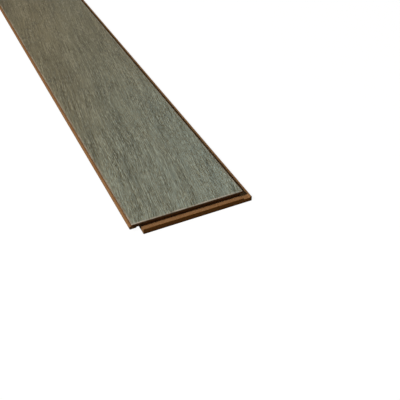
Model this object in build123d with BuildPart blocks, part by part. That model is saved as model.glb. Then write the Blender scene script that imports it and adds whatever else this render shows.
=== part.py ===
"""Laminate floor plank: a decor sheet pressed onto a fibreboard core whose four edges are milled to click together.

Millimetres. X runs across the plank, Y along it, Z up. The origin is on the underside, below the middle of the face.
The groove edges are at plus X and minus Y, and the tongue edges that fit them are at minus X and plus Y.
"""
from build123d import *
import os

# Face of the plank, as it shows in a laid floor
face_length = 1215.0
face_width = 127.0
plank_thickness = 12.0
decor_thickness = 0.4

# Sizes that all four milled edges share
groove_height = 4.2
ridge_height = 1.1
flank_run = 0.6
tongue_reach = 2.0
play = 0.2
recess_room = 1.8

# Top lip over the groove, and locking lip under it, of the long edge and of the end
long_top_lip = 3.2
long_lip_reach = 8.5
long_ridge_width = 2.4
end_top_lip = 2.45
end_lip_reach = 5.2
end_ridge_width = 1.6

# Rounding left by the cutters
nose_radius = 1.2
ridge_radius = 0.5
root_radius = 0.4
lip_radius = 0.3

core_thickness = plank_thickness - decor_thickness


class ClickPair:
    """Two opposite edges that click together: a groove edge on the plus side and a tongue edge on the minus side.

    Places are measured across the plank from the middle of its face, and heights from its underside.
    """

    def __init__(self, face_span, top_lip, lip_reach, ridge_width):
        self.groove_ceiling = plank_thickness - top_lip
        self.groove_floor = self.groove_ceiling - groove_height
        self.ridge_top = self.groove_floor + ridge_height

        self.groove_edge = face_span / 2
        self.groove_back = self.groove_edge - tongue_reach - play
        self.lip_end = self.groove_edge + lip_reach
        self.ridge_side = self.lip_end - ridge_width

        self.tongue_edge = -face_span / 2
        self.tongue_tip = self.tongue_edge - tongue_reach
        self.recess_back = self.tongue_edge + lip_reach + recess_room
        self.recess_side = self.tongue_edge + lip_reach - ridge_width - play

    def section(self, plane):
        """Outline of the core across this pair, with each corner rounded as its cutter leaves it."""
        groove_corners = [
            ((self.groove_edge, core_thickness), 0),
            ((self.groove_edge, self.groove_ceiling), lip_radius),
            ((self.groove_back, self.groove_ceiling), root_radius),
            ((self.groove_back, self.groove_floor), root_radius),
            ((self.ridge_side - flank_run, self.groove_floor), root_radius),
            ((self.ridge_side, self.ridge_top), ridge_radius),
            ((self.lip_end, self.ridge_top), ridge_radius),
            ((self.lip_end, 0), 0),
        ]
        tongue_corners = [
            ((self.recess_back, 0), 0),
            ((self.recess_back, self.ridge_top + play), root_radius),
            ((self.recess_side, self.ridge_top + play), root_radius),
            ((self.recess_side - flank_run, self.groove_floor + play), ridge_radius),
            ((self.tongue_tip, self.groove_floor + play), nose_radius),
            ((self.tongue_tip, self.groove_ceiling - play), nose_radius),
            ((self.tongue_edge, self.groove_ceiling - play), 0),
            ((self.tongue_edge, core_thickness), 0),
        ]
        points, radii = zip(*groove_corners, *tongue_corners)
        with BuildSketch(plane) as outline:
            with BuildLine():
                FilletPolyline(*points, radius=radii, close=True)
            make_face()
        return outline.sketch


long_edges = ClickPair(face_width, long_top_lip, long_lip_reach, long_ridge_width)
ends = ClickPair(face_length, end_top_lip, end_lip_reach, end_ridge_width)
end_plane = Plane(origin=(0, 0, 0), x_dir=(0, -1, 0), z_dir=(-1, 0, 0))
corner_span = long_lip_reach + end_lip_reach
corner_height = (long_edges.ridge_top + long_edges.groove_ceiling) / 2

# Fibreboard core: the long edges are milled along the whole board, then both ends across it
with BuildPart() as hdf_core:
    extrude(long_edges.section(Plane.XZ), amount=face_length, both=True)
    extrude(ends.section(end_plane), amount=face_width, both=True, mode=Mode.INTERSECT)
    # Each locking lip stops where the recess of the tongue edge beside it begins
    with BuildSketch(Plane.XY):
        with Locations((long_edges.recess_back, -ends.groove_back)):
            Rectangle(corner_span, corner_span, align=Align.MAX)
        with Locations((long_edges.groove_back, -ends.recess_back)):
            Rectangle(corner_span, corner_span, align=Align.MIN)
    extrude(amount=corner_height, mode=Mode.SUBTRACT)
hdf_core.part.label = "hdf_core"

# Printed and sealed decor sheet, as wide and as long as the visible face
with BuildPart() as decor_layer:
    with BuildSketch(Plane.XY.offset(core_thickness)):
        Rectangle(face_width, face_length)
    extrude(amount=decor_thickness)
decor_layer.part.label = "decor_layer"

os.makedirs("parts", exist_ok=True)
export_step(hdf_core.part, "parts/hdf_core.step")
export_step(decor_layer.part, "parts/decor_layer.step")
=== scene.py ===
"""Looks of the laminate floor plank: its pressed face, its milled board, a plain studio and the camera.

Every length is in metres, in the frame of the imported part: X across the plank, Y along it, Z up.
"""

import logging
import math
from dataclasses import dataclass
from enum import Enum

import bmesh
import bpy
from mathutils import Matrix, Vector, noise


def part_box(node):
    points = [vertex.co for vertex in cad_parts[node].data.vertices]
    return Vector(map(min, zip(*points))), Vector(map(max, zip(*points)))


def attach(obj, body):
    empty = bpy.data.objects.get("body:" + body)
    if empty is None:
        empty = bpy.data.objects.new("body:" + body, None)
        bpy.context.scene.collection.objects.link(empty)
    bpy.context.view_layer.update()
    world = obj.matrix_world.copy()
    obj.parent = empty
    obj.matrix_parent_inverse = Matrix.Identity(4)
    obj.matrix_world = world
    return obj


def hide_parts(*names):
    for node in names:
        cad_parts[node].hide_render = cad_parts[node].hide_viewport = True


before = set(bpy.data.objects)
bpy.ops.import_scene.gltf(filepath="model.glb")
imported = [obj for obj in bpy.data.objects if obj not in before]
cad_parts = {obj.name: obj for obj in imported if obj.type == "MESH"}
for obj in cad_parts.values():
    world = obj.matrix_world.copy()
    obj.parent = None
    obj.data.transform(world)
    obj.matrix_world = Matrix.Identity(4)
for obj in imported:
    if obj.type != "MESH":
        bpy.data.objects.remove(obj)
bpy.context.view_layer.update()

LOG = logging.getLogger("plank")
MM = 0.001
Colour = tuple[float, float, float]
Span = tuple[float, float]
Socket = bpy.types.NodeSocket
WHOLE: Span = (0.0, 1.0)
BOTH_SIDES: Span = (-1.0, 1.0)
NOISE_MIDDLE: Span = (0.35, 0.65)


def rgba(colour: Colour) -> tuple[float, float, float, float]:
    """Gives an opaque linear colour as a shader socket takes it."""
    return (*colour, 1.0)


def smooth_rise(low: float, high: float, value: float) -> float:
    """Rises from 0 to 1 between two values, level at both ends.

    Args:
        low: Value up to which the result is 0.
        high: Value from which the result is 1.
        value: Value to judge.

    Returns:
        A share from 0 to 1.
    """
    share = min(1.0, max(0.0, (value - low) / (high - low)))
    return share * share * (3.0 - 2.0 * share)


@dataclass(frozen=True)
class Cell:
    """Size of a noise's cells across and along the plank, its seed, its depth and its finer octaves."""

    across: float
    along: float
    seed: float
    deep: float = 9.0 * MM
    detail: float = 0.0

    def swell(self, across: float, along: float) -> float:
        """Gives the noise at a place on the face, about 0 on average."""
        return noise.noise(Vector((across / self.across, along / self.along, self.seed)))


class Graph:
    """Node tree of one material or world, with short ways to add and join nodes."""

    NOISE_MEAN = 0.5
    OCTAVE_FADE = 0.55
    MIX_SOCKETS = (0, 6, 7)
    MIX_RESULT = 2

    def __init__(self, owner: bpy.types.Material | bpy.types.World) -> None:
        """Starts an empty tree.

        Args:
            owner: Material or world that the tree belongs to.
        """
        owner.use_nodes = True
        self.tree = owner.node_tree
        self.tree.nodes.clear()

    def add(self, kind: str, settings: dict | None = None, **inputs: object) -> bpy.types.Node:
        """Adds a node.

        Args:
            kind: Blender's type name of the node, without its ShaderNode prefix.
            settings: Properties of the node itself, by name.
            inputs: Sockets by name, with underscores for spaces. An output socket is linked, a value is set.

        Returns:
            The new node.
        """
        node = self.tree.nodes.new("ShaderNode" + kind)
        for name, value in (settings or {}).items():
            setattr(node, name, value)
        for name, value in inputs.items():
            self.feed(node.inputs[name.replace("_", " ")], value)
        return node

    def feed(self, socket: Socket, value: object) -> None:
        """Feeds an input socket.

        Args:
            socket: Input socket of a node.
            value: Output socket to link into it, or its plain value.
        """
        if isinstance(value, Socket):
            self.tree.links.new(value, socket)
        else:
            socket.default_value = value

    def math(self, operation: str, first: object, second: object = 0.0) -> Socket:
        """Takes one step of arithmetic.

        Args:
            operation: Blender's name of the step.
            first: First number, or a socket.
            second: Second number, or a socket.

        Returns:
            The result's socket.
        """
        node = self.add("Math", {"operation": operation})
        self.feed(node.inputs[0], first)
        self.feed(node.inputs[1], second)
        return node.outputs[0]

    def blend(self, share: object, first: object, second: object, kind: str = "MIX") -> Socket:
        """Mixes two colours.

        Args:
            share: Share of the second colour, a number or a socket.
            first: First colour, or a socket.
            second: Second colour, or a socket.
            kind: Blender's name of the blend.

        Returns:
            The mixed colour's socket.
        """
        node = self.add("Mix", {"data_type": "RGBA", "blend_type": kind, "clamp_factor": True})
        for socket, value in zip(self.MIX_SOCKETS, (share, first, second)):
            self.feed(node.inputs[socket], value)
        return node.outputs[self.MIX_RESULT]

    def span(self, value: object, old: Span, new: Span, kind: str = "LINEAR") -> Socket:
        """Carries a value from one range to another, held at both ends.

        Args:
            value: Value to carry, a number or a socket.
            old: Range that the value comes from.
            new: Range that it goes to.
            kind: Blender's name of the way between the ends.

        Returns:
            The carried value's socket.
        """
        node = self.add("MapRange", {"interpolation_type": kind}, Value=value)
        for name, number in zip(("From Min", "From Max", "To Min", "To Max"), (*old, *new)):
            self.feed(node.inputs[name], number)
        return node.outputs[0]

    def rise(self, value: object, old: Span) -> Socket:
        """Gives a share that goes smoothly from 0 at the first value of a range to 1 at the second."""
        return self.span(value, old, WHOLE, "SMOOTHSTEP")

    def streaks(self, place: Socket, cell: Cell) -> Socket:
        """Gives smooth noise stretched to cells of a given size.

        Args:
            place: Coordinates to read, in metres.
            cell: Size and make of the noise's cells.

        Returns:
            The noise's value, about 0.5 on average.
        """
        stretch = self.add("Mapping", {"vector_type": "POINT"}, Vector=place)
        stretch.inputs["Location"].default_value = (0.0, 0.0, cell.seed)
        stretch.inputs["Scale"].default_value = (1.0 / cell.across, 1.0 / cell.along, 1.0 / cell.deep)
        grain = self.add("TexNoise", {"noise_dimensions": "3D"}, Vector=stretch.outputs[0], Scale=1.0)
        grain.inputs["Detail"].default_value = cell.detail
        grain.inputs["Roughness"].default_value = self.OCTAVE_FADE
        return grain.outputs[0]

    def lean(self, place: Socket, parts: tuple[tuple[Cell, float], ...]) -> Socket:
        """Adds up how far noises lean from their middle value.

        Args:
            place: Coordinates to read, in metres.
            parts: Cells of the noises, each with its weight.

        Returns:
            The sum's socket, about 0 on average.
        """
        total = -self.NOISE_MEAN * sum(weight for _, weight in parts)
        for cell, weight in parts:
            total = self.math("ADD", self.math("MULTIPLY", self.streaks(place, cell), weight), total)
        return total


@dataclass(frozen=True)
class OakGrain:
    """Run of the grain over the face, and the relief that is pressed along it."""

    lean: float = math.radians(6.8)
    wander: float = 5.0 * MM
    bends: Cell = Cell(40.0 * MM, 190.0 * MM, 3.7)
    pores: Cell = Cell(1.7 * MM, 21.0 * MM, 11.3)
    pore_span: Span = (0.12, 0.62)
    pore_depth: float = 0.10 * MM
    crowds: Cell = Cell(15.3 * MM, 105.0 * MM, 27.9)
    crowd_gain: float = 0.15
    ticks: Cell = Cell(1.2 * MM, 11.0 * MM, 41.1)
    tick_span: Span = (0.10, 0.55)
    tick_depth: float = 0.05 * MM
    waves: Cell = Cell(10.2 * MM, 63.0 * MM, 63.5)
    wave_depth: float = 0.03 * MM

    def follow(self, x: float, y: float) -> tuple[float, float]:
        """Turns a place on the face into a place in the leaning, wandering grain.

        Args:
            x: Distance across the plank.
            y: Distance along the plank.

        Returns:
            Distances across and along the grain.
        """
        sway = self.wander * self.bends.swell(x, y)
        across = x * math.cos(self.lean) - y * math.sin(self.lean) + sway
        along = x * math.sin(self.lean) + y * math.cos(self.lean)
        return across, along

    def pore(self, across: float, along: float) -> float:
        """Gives how far a place lies in a long pressed pore.

        Args:
            across: Distance across the grain.
            along: Distance along the grain.

        Returns:
            A share from 0 to 1.
        """
        easier = self.crowd_gain * self.crowds.swell(across, along)
        low, high = (value - easier for value in self.pore_span)
        return smooth_rise(low, high, self.pores.swell(across, along))

    def drop(self, across: float, along: float) -> float:
        """Gives how far the pressed face lies below its highest level.

        Args:
            across: Distance across the grain.
            along: Distance along the grain.

        Returns:
            The depth of the pores, ticks and waves there.
        """
        pore = self.pore_depth * self.pore(across, along)
        tick = self.tick_depth * smooth_rise(*self.tick_span, self.ticks.swell(across, along))
        wave = self.wave_depth * (1.0 + self.waves.swell(across, along)) / 2
        return pore + tick + wave


class Rim(Enum):
    """Edges of the face: the axis that each one crosses, and its side."""

    TONGUE_SIDE = ("X", -1.0)
    GROOVE_SIDE = ("X", 1.0)
    GROOVE_END = ("Y", -1.0)
    TONGUE_END = ("Y", 1.0)


RimShares = tuple[tuple[Rim, float], ...]


@dataclass(frozen=True)
class DecorFinish:
    """Printed grey oak under a satin seal, with a pale border painted along its edges as highlight and
    partly wear, and a dark bare rim that is partly painted shade.

    The corner is the far right one of the face, whose middle lies above the origin.
    """

    corner: Vector
    grain: OakGrain
    sway: Cell = Cell(45.0 * MM, 140.0 * MM, 31.3, deep=60.0 * MM)
    sway_reach: float = 11.0 * MM

    dark: Colour = (0.057, 0.042, 0.014)
    pale: Colour = (0.209, 0.195, 0.131)
    tone_span: Span = (-0.46, 0.38)
    fine_grain: tuple[tuple[Cell, float], ...] = (
        (Cell(0.70 * MM, 7.5 * MM, 7.9), 1.0),
        (Cell(0.70 * MM, 42.0 * MM, 13.1, detail=1.0), 1.5),
    )
    broad_grain: tuple[tuple[Cell, float], ...] = (
        (Cell(2.4 * MM, 26.0 * MM, 19.7, detail=1.0), 0.3),
        (Cell(22.0 * MM, 130.0 * MM, 77.1, deep=40.0 * MM, detail=1.0), 0.60),
    )
    crowds: Cell = Cell(13.0 * MM, 40.0 * MM, 66.6, deep=40.0 * MM, detail=1.0)
    crowd_span: Span = (0.60, 1.20)
    pore_weight: float = 0.15

    lime: Colour = (0.268, 0.262, 0.198)
    lime_span: Span = (0.14, 0.34)
    lime_share: float = 0.6
    warm: Colour = (1.05, 0.945, 0.835)
    tints: Cell = Cell(140.0 * MM, 600.0 * MM, 23.32, deep=60.0 * MM, detail=1.0)
    slit_shade: Colour = (0.50, 0.47, 0.42)
    slits: Cell = Cell(0.24 * MM, 7.0 * MM, 87.6, detail=1.0)
    slit_span: Span = (0.56, 0.70)
    slit_depth: float = 0.3

    # Pale border: painted highlight along the edges, strongest at the near end and on the lit tongue side,
    # partly wear.
    pale_highlight_and_wear: Colour = (0.378, 0.300, 0.234)
    highlight_and_wear_width: float = 2.4 * MM
    highlight_and_wear_shares: RimShares = (
        (Rim.TONGUE_SIDE, 0.48),
        (Rim.GROOVE_SIDE, 0.30),
        (Rim.GROOVE_END, 1.0),
        (Rim.TONGUE_END, 0.8),
    )
    highlight_and_wear_patches: Cell = Cell(16.0 * MM, 16.0 * MM, 71.4, deep=16.0 * MM, detail=2.0)
    highlight_and_wear_span: Span = (0.25, 1.0)
    # Dark bare rim: partly a bared edge, partly painted shade, full on the shaded groove side and faint on
    # the lit tongue side.
    bare_rim_and_shade: Colour = (0.109, 0.065, 0.033)
    bare_rim_and_shade_width: float = 0.70 * MM
    bare_rim_and_shade_shares: RimShares = (
        (Rim.TONGUE_SIDE, 0.10),
        (Rim.GROOVE_SIDE, 1.0),
        (Rim.GROOVE_END, 1.0),
        (Rim.TONGUE_END, 0.8),
    )

    relief: float = 0.20 * MM
    roughness_span: Span = (0.43, 0.32)
    seal_index: float = 1.58

    def material(self) -> bpy.types.Material:
        """Makes the material, with grain that follows the face's own pores.

        Returns:
            The new material.
        """
        material = bpy.data.materials.new("oak_decor")
        graph = Graph(material)
        place = graph.add("TexCoord").outputs["Object"]
        run = self.run(graph, place)
        crowd = graph.span(graph.streaks(run, self.crowds), NOISE_MIDDLE, self.crowd_span)
        fine = graph.math("MULTIPLY", graph.lean(run, self.fine_grain), crowd)
        slits = graph.math("MULTIPLY", graph.rise(graph.streaks(run, self.slits), self.slit_span), crowd)

        share = self.tone(graph, run, fine)
        colour = graph.blend(share, rgba(self.dark), rgba(self.pale))
        limed = graph.math("MULTIPLY", graph.rise(fine, self.lime_span), self.lime_share)
        colour = graph.blend(limed, colour, rgba(self.lime))
        warmth = graph.rise(graph.streaks(run, self.tints), NOISE_MIDDLE)
        colour = graph.blend(warmth, colour, rgba(self.warm), "MULTIPLY")
        colour = graph.blend(slits, colour, rgba(self.slit_shade), "MULTIPLY")
        colour = self.paint_highlight_and_wear(graph, place, colour)

        height = graph.math("SUBTRACT", fine, graph.math("MULTIPLY", slits, self.slit_depth))
        brushed = graph.add("Bump", Strength=1.0, Distance=self.relief, Height=height)
        seal = graph.add("BsdfPrincipled", Base_Color=colour, IOR=self.seal_index, Normal=brushed.outputs[0])
        graph.feed(seal.inputs["Roughness"], graph.span(share, WHOLE, self.roughness_span))
        graph.add("OutputMaterial", Surface=seal.outputs[0])
        return material

    def run(self, graph: Graph, place: Socket) -> Socket:
        """Gives coordinates across and along the leaning, swaying grain.

        Args:
            graph: Node tree of the material.
            place: Coordinates of the plank.

        Returns:
            The coordinates' socket.
        """
        turned = graph.add("Mapping", {"vector_type": "POINT"}, Vector=place)
        turned.inputs["Rotation"].default_value = (0.0, 0.0, self.grain.lean)
        reach = graph.math("MULTIPLY", graph.streaks(place, self.sway), self.sway_reach)
        shift = graph.add("CombineXYZ", X=reach)
        moved = graph.add("VectorMath", {"operation": "ADD"})
        graph.feed(moved.inputs[0], turned.outputs[0])
        graph.feed(moved.inputs[1], shift.outputs[0])
        return moved.outputs[0]

    def tone(self, graph: Graph, run: Socket, fine: Socket) -> Socket:
        """Gives how pale the print is, from 0 to 1.

        Args:
            graph: Node tree of the material.
            run: Coordinates of the grain.
            fine: Lean of the fine grain.

        Returns:
            The share's socket.
        """
        pore = graph.add("Attribute", {"attribute_name": "pore"}).outputs["Fac"]
        tone = graph.math("ADD", fine, graph.lean(run, self.broad_grain))
        tone = graph.math("SUBTRACT", tone, graph.math("MULTIPLY", pore, self.pore_weight))
        return graph.span(tone, self.tone_span, WHOLE)

    def paint_highlight_and_wear(self, graph: Graph, place: Socket, colour: Socket) -> Socket:
        """Paints a pale highlight, partly wear, along the border of the face, and darkens its rim with a
        bare edge that is partly painted shade.

        Args:
            graph: Node tree of the material.
            place: Coordinates of the plank.
            colour: Colour of the print.

        Returns:
            The colour's socket, with the painted highlight and shade.
        """
        patchy = graph.span(graph.streaks(place, self.highlight_and_wear_patches), NOISE_MIDDLE, self.highlight_and_wear_span)
        # Painted highlight, partly wear, along the border.
        pale_highlight_and_wear = graph.math("MULTIPLY", self.border(graph, place, self.highlight_and_wear_width, self.highlight_and_wear_shares), patchy)
        colour = graph.blend(pale_highlight_and_wear, colour, rgba(self.pale_highlight_and_wear))
        # Dark bare rim, partly painted shade.
        rim_and_shade_share = self.border(graph, place, self.bare_rim_and_shade_width, self.bare_rim_and_shade_shares)
        return graph.blend(rim_and_shade_share, colour, rgba(self.bare_rim_and_shade))

    def border(self, graph: Graph, place: Socket, width: float, shares: RimShares) -> Socket:
        """Gives how far a place lies in the border of the face, from 0 inside it up to a share near the rim.

        Args:
            graph: Node tree of the material.
            place: Coordinates of the plank.
            width: Width of the border.
            shares: Share at each edge's rim.

        Returns:
            The share's socket.
        """
        axes = graph.add("SeparateXYZ", Vector=place)
        most = 0.0
        for rim, share in shares:
            axis, side = rim.value
            half = self.corner.x if axis == "X" else self.corner.y
            reach = graph.math("MULTIPLY", axes.outputs[axis], side)
            inside = graph.rise(reach, (half - width, half - width / 2))
            most = graph.math("MAXIMUM", graph.math("MULTIPLY", inside, share), most)
        return most


@dataclass(frozen=True)
class FibreboardFinish:
    """Milled brown fibreboard, darker towards its pressed faces and redder on its cut ends: partly its
    denser skin and cut ends, partly painted shade on the shaded lip fronts.
    """

    low: Vector
    high: Vector
    chips: Cell = Cell(0.9 * MM, 0.9 * MM, 0.0, deep=0.35 * MM, detail=3.0)
    fibre: Colour = (0.213, 0.113, 0.051)
    fibre_pale: Colour = (0.310, 0.183, 0.096)
    fibre_dark: Colour = (0.147, 0.063, 0.023)
    pale_span: Span = (0.45, 0.75)
    dark_span: Span = (0.48, 0.25)
    clouds: Cell = Cell(14.0 * MM, 14.0 * MM, 5.0, deep=3.0 * MM, detail=2.0)
    cloud_span: Span = (0.4, 0.8)
    cloud_share: float = 0.35
    # Darker towards the top and the bottom: partly the denser pressed skin, partly painted shade on the top
    # lip's front and the foot.
    skin_and_shade: Colour = (0.55, 0.49, 0.42)
    skin_and_shade_heights: Span = (8.6 * MM, 10.4 * MM)
    back_skin_and_shade_heights: Span = (2.2 * MM, 0.2 * MM)
    # Redder, darker ends: partly cut ends, partly the painted saturated brown of shaded ends.
    end_cut_and_shade: Colour = (0.98, 0.76, 0.45)
    end_depths: Span = (0.35 * MM, 0.08 * MM)
    fuzz_strength: float = 0.5
    fuzz_depth: float = 0.08 * MM
    roughness: float = 0.85
    shine: float = 0.02

    def material(self) -> bpy.types.Material:
        """Makes the material of the core.

        Returns:
            The new material.
        """
        material = bpy.data.materials.new("milled_fibreboard")
        graph = Graph(material)
        place = graph.add("TexCoord").outputs["Object"]
        chips = graph.streaks(place, self.chips)
        colour = graph.blend(graph.rise(chips, self.pale_span), rgba(self.fibre), rgba(self.fibre_pale))
        colour = graph.blend(graph.rise(chips, self.dark_span), colour, rgba(self.fibre_dark))
        clouds = graph.rise(graph.streaks(place, self.clouds), self.cloud_span)
        colour = graph.blend(graph.math("MULTIPLY", clouds, self.cloud_share), colour, rgba(self.fibre_dark))

        axes = graph.add("SeparateXYZ", Vector=place)
        height, run = axes.outputs["Z"], axes.outputs["Y"]
        # Painted shade, partly real skin: darker towards the top and the bottom faces.
        top, back = graph.rise(height, self.skin_and_shade_heights), graph.rise(height, self.back_skin_and_shade_heights)
        colour = graph.blend(graph.math("MAXIMUM", top, back), colour, rgba(self.skin_and_shade), "MULTIPLY")
        # Painted shade, partly real cut ends: redder and darker on both end faces.
        near = graph.rise(run, tuple(self.low.y + depth for depth in self.end_depths))
        far = graph.rise(run, tuple(self.high.y - depth for depth in self.end_depths))
        colour = graph.blend(graph.math("MAXIMUM", near, far), colour, rgba(self.end_cut_and_shade), "MULTIPLY")

        fuzz = graph.add("Bump", Strength=self.fuzz_strength, Distance=self.fuzz_depth, Height=chips)
        board = graph.add("BsdfPrincipled", Base_Color=colour, Normal=fuzz.outputs[0])
        board.inputs["Roughness"].default_value = self.roughness
        board.inputs["Specular IOR Level"].default_value = self.shine
        graph.add("OutputMaterial", Surface=board.outputs[0])
        return material


@dataclass(frozen=True)
class FloorFinish:
    """Pale studio floor that the camera sees as white, with the soft shadow of what lies on it."""

    paint: Colour = (0.06, 0.06, 0.06)
    glow: float = 0.95

    def material(self) -> bpy.types.Material:
        """Makes the floor's material.

        Returns:
            The new material.
        """
        material = bpy.data.materials.new("studio_floor")
        graph = Graph(material)
        path = graph.add("LightPath")
        seen = graph.math("MAXIMUM", path.outputs["Is Camera Ray"], path.outputs["Is Glossy Ray"])
        seen = graph.math("MAXIMUM", seen, path.outputs["Is Transmission Ray"])
        paint = graph.add("BsdfDiffuse", Color=rgba(self.paint))
        glow = graph.add("Emission", Strength=graph.math("MULTIPLY", seen, self.glow))
        both = graph.add("AddShader")
        graph.feed(both.inputs[0], paint.outputs[0])
        graph.feed(both.inputs[1], glow.outputs[0])
        graph.add("OutputMaterial", Surface=both.outputs[0])
        return material


@dataclass
class DecorFace:
    """Decor sheet with its grain pressed into it, in place of the plain one."""

    low: Vector
    high: Vector
    grain: OakGrain
    cells_across: int = 180
    cells_along: int = 480
    ease: float = 0.14 * MM
    ease_segments: int = 2
    border_width: float = 1.9 * MM
    border_drop: float = 0.24 * MM
    border_rows: tuple[float, ...] = (0.0, 0.35, 0.7, 1.15)
    same_row: float = 0.1
    same_level: float = 0.014 * MM
    crease: float = math.radians(35.0)

    def build(self) -> bpy.types.Object:
        """Models the sheet as a closed mesh, pressed from above.

        Returns:
            The new object, at the origin.
        """
        middle = (self.low + self.high) / 2
        size = self.high - self.low
        mesh = bpy.data.meshes.new("decor_face")
        sheet = bmesh.new()
        bmesh.ops.create_grid(sheet, x_segments=self.cells_across, y_segments=self.cells_along, size=0.5)
        spread = Matrix.Diagonal((size.x, size.y, 1.0, 1.0))
        spread.translation = (middle.x, middle.y, self.high.z)
        bmesh.ops.transform(sheet, matrix=spread, verts=sheet.verts)
        self.crowd_border(sheet, size.y / self.cells_along)
        rim = [edge for edge in sheet.edges if edge.is_boundary]
        skirt = bmesh.ops.extrude_edge_only(sheet, edges=rim)["geom"]
        hem = [part for part in skirt if isinstance(part, bmesh.types.BMVert)]
        bmesh.ops.translate(sheet, verts=hem, vec=(0.0, 0.0, -size.z))
        foot = [edge for edge in sheet.edges if edge.is_boundary]
        bmesh.ops.triangle_fill(sheet, edges=foot, use_beauty=True)
        bmesh.ops.bevel(
            sheet,
            geom=rim,
            offset=self.ease,
            offset_type="OFFSET",
            segments=self.ease_segments,
            profile=0.5,
            affect="EDGES",
            material=-1,
        )
        bmesh.ops.recalc_face_normals(sheet, faces=sheet.faces)
        self.press(sheet)
        sheet.to_mesh(mesh)
        sheet.free()
        piece = bpy.data.objects.new("decor_face", mesh)
        bpy.context.scene.collection.objects.link(piece)
        return piece

    def crowd_border(self, sheet: bmesh.types.BMesh, cell: float) -> None:
        """Moves the rows of points next to the ends towards them, so that the border can bend there.

        Args:
            sheet: Flat grid of the face.
            cell: Length of a cell of the grid.
        """
        for row, share in enumerate(self.border_rows):
            shift = share * self.border_width - row * cell
            for end, inward in ((self.low.y, 1.0), (self.high.y, -1.0)):
                place = end + inward * row * cell
                verts = [vert for vert in sheet.verts if abs(vert.co.y - place) < self.same_row * cell]
                bmesh.ops.translate(sheet, verts=verts, vec=(0.0, inward * shift, 0.0))

    def border_share(self, place: Vector) -> float:
        """Gives how far the eased border has dropped at a place.

        Args:
            place: Place on the top of the sheet.

        Returns:
            A share from 0 inside the border to 1 at the rim.
        """
        from_low, from_high = place - self.low, self.high - place
        inside = min(from_low.x, from_high.x, from_low.y, from_high.y)
        return max(0.0, 1.0 - inside / self.border_width) ** 2

    def press(self, sheet: bmesh.types.BMesh) -> None:
        """Presses the grain into the top of the sheet, and keeps each place's share of pore.

        Args:
            sheet: Closed mesh of the flat sheet.
        """
        pore = sheet.verts.layers.float.new("pore")
        for vert in sheet.verts:
            grain_place = self.grain.follow(vert.co.x, vert.co.y)
            vert[pore] = self.grain.pore(*grain_place)
            if vert.co.z > self.high.z - self.same_level:
                fade = self.border_share(vert.co)
                pressed = (1.0 - fade) * self.grain.drop(*grain_place)
                vert.co.z -= pressed + fade * self.border_drop

    def dress(self, piece: bpy.types.Object, finish: DecorFinish) -> None:
        """Gives the sheet its finish and smooth shading, and puts it in the plain sheet's place.

        Args:
            piece: The sheet.
            finish: Its finish.
        """
        piece.data.materials.append(finish.material())
        piece.data.polygons.foreach_set("use_smooth", [True] * len(piece.data.polygons))
        piece.data.set_sharp_from_angle(angle=self.crease)
        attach(piece, "root")
        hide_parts("decor_layer")


@dataclass
class MilledCore:
    """Fibreboard core of the plank, kept as it is in the imported part."""

    node: bpy.types.Object

    def dress(self, finish: FibreboardFinish) -> None:
        """Gives the core its finish.

        Args:
            finish: Finish of the milled board.
        """
        self.node.data.materials.clear()
        self.node.data.materials.append(finish.material())


class LampPlace(Enum):
    """Lamps of the studio: where each hangs, and what it looks at."""

    KEY = ((-3.0, -1.1, 2.97), (0.0, -0.3, 0.0))
    SKY = ((1.75, 2.3, 3.0), (0.0, -0.5, 0.0))


@dataclass(frozen=True)
class Lamp:
    """One soft square lamp, with or without glare on glossy surfaces."""

    place: LampPlace
    side: float
    power: float
    colour: Colour
    glare: bool = True

    def hang(self) -> bpy.types.Object:
        """Hangs the lamp in the studio.

        Returns:
            The new lamp.
        """
        name = self.place.name.lower() + "_lamp"
        light = bpy.data.lights.new(name, "AREA")
        light.shape = "SQUARE"
        light.size = self.side
        light.energy = self.power
        light.color = self.colour
        lamp = bpy.data.objects.new(name, light)
        spot, target = (Vector(point) for point in self.place.value)
        lamp.location = spot
        lamp.rotation_euler = (target - spot).to_track_quat("-Z", "Y").to_euler()
        lamp.visible_glossy = self.glare
        bpy.context.scene.collection.objects.link(lamp)
        return lamp


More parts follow.
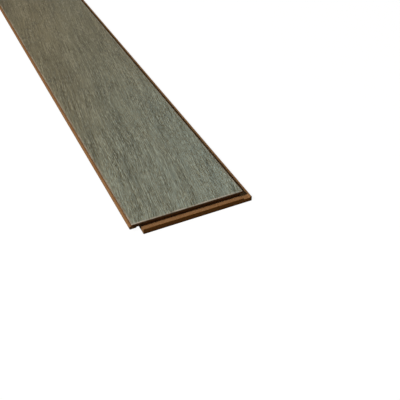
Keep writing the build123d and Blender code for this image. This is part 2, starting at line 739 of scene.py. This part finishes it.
@dataclass(frozen=True)
class Studio:
    """Floor with a wall round it, lamps and even light round the plank."""

    floor_radius: float = 14.0
    wall_height: float = 2.0
    wall_sides: int = 48
    horizon: Colour = (0.03, 0.028, 0.026)
    zenith: Colour = (0.19, 0.19, 0.19)
    front_to_back: Span = (0.2, 1.0)
    lamps: tuple[Lamp, ...] = (
        Lamp(LampPlace.KEY, side=1.0, power=234.0, colour=(1.0, 0.945, 0.85), glare=False),
        Lamp(LampPlace.SKY, side=1.7, power=36.0, colour=(0.60, 0.93, 1.0)),
    )

    def build(self) -> None:
        """Lays the floor, hangs the lamps and sets the even light."""
        self.lay_floor()
        for lamp in self.lamps:
            LOG.info("lamp %s", lamp.hang().name)
        self.light_world()

    def lay_floor(self) -> None:
        """Lays the pale floor under the plank, and turns it up into a wall far from it."""
        mesh = bpy.data.meshes.new("studio_floor")
        ground = bmesh.new()
        bmesh.ops.create_circle(ground, cap_ends=True, segments=self.wall_sides, radius=self.floor_radius)
        rim = [edge for edge in ground.edges if edge.is_boundary]
        wall = bmesh.ops.extrude_edge_only(ground, edges=rim)["geom"]
        top = [part for part in wall if isinstance(part, bmesh.types.BMVert)]
        bmesh.ops.translate(ground, verts=top, vec=(0.0, 0.0, self.wall_height))
        ground.to_mesh(mesh)
        ground.free()
        floor = bpy.data.objects.new("studio_floor", mesh)
        floor.data.materials.append(FloorFinish().material())
        bpy.context.scene.collection.objects.link(floor)

    def light_world(self) -> None:
        """Sets even light that grows from the horizon to straight above, and from the front to the back."""
        world = bpy.data.worlds.new("studio_light")
        graph = Graph(world)
        direction = graph.add("TexCoord").outputs["Generated"]
        axes = graph.add("SeparateXYZ", Vector=direction)
        depth = graph.span(axes.outputs["Y"], BOTH_SIDES, self.front_to_back)
        share = graph.math("MULTIPLY", axes.outputs["Z"], depth)
        colour = graph.blend(share, rgba(self.horizon), rgba(self.zenith))
        air = graph.add("Background", Color=colour)
        graph.add("OutputWorld", Surface=air.outputs[0])
        bpy.context.scene.world = world


@dataclass(frozen=True)
class PhotoCamera:
    """Camera of the photograph, placed from the near left corner of the face."""

    from_corner: Vector = Vector((-148.4, -468.6, 434.1)) * MM
    turn: float = math.radians(-25.605)
    tilt_down: float = math.radians(39.501)
    focal_length: float = 58.438
    film_width: float = 36.0

    def place(self, corner: Vector) -> None:
        """Places the camera and makes it the scene's own.

        Args:
            corner: Near left corner of the plank's face.
        """
        data = bpy.data.cameras.new("photo_camera")
        data.sensor_fit = "HORIZONTAL"
        data.sensor_width = self.film_width
        data.lens = self.focal_length
        camera = bpy.data.objects.new("photo_camera", data)
        camera.location = corner + self.from_corner
        camera.rotation_euler = (math.pi / 2 - self.tilt_down, 0.0, self.turn)
        bpy.context.scene.collection.objects.link(camera)
        bpy.context.scene.camera = camera


def main() -> None:
    """Builds the plank's looks, the studio and the camera."""
    logging.basicConfig(level=logging.INFO, format="%(name)s: %(message)s")
    low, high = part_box("decor_layer")
    grain = OakGrain()
    face = DecorFace(low, high, grain)
    sheet = face.build()
    face.dress(sheet, DecorFinish(high, grain))
    LOG.info("piece %s, %d faces", sheet.name, len(sheet.data.polygons))
    core = MilledCore(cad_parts["hdf_core"])
    core.dress(FibreboardFinish(*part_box("hdf_core")))
    LOG.info("piece %s, %d faces", core.node.name, len(core.node.data.polygons))
    Studio().build()
    PhotoCamera().place(Vector((low.x, low.y, high.z)))
    bpy.context.scene.view_settings.view_transform = "Standard"


if __name__ == "__main__":
    main()
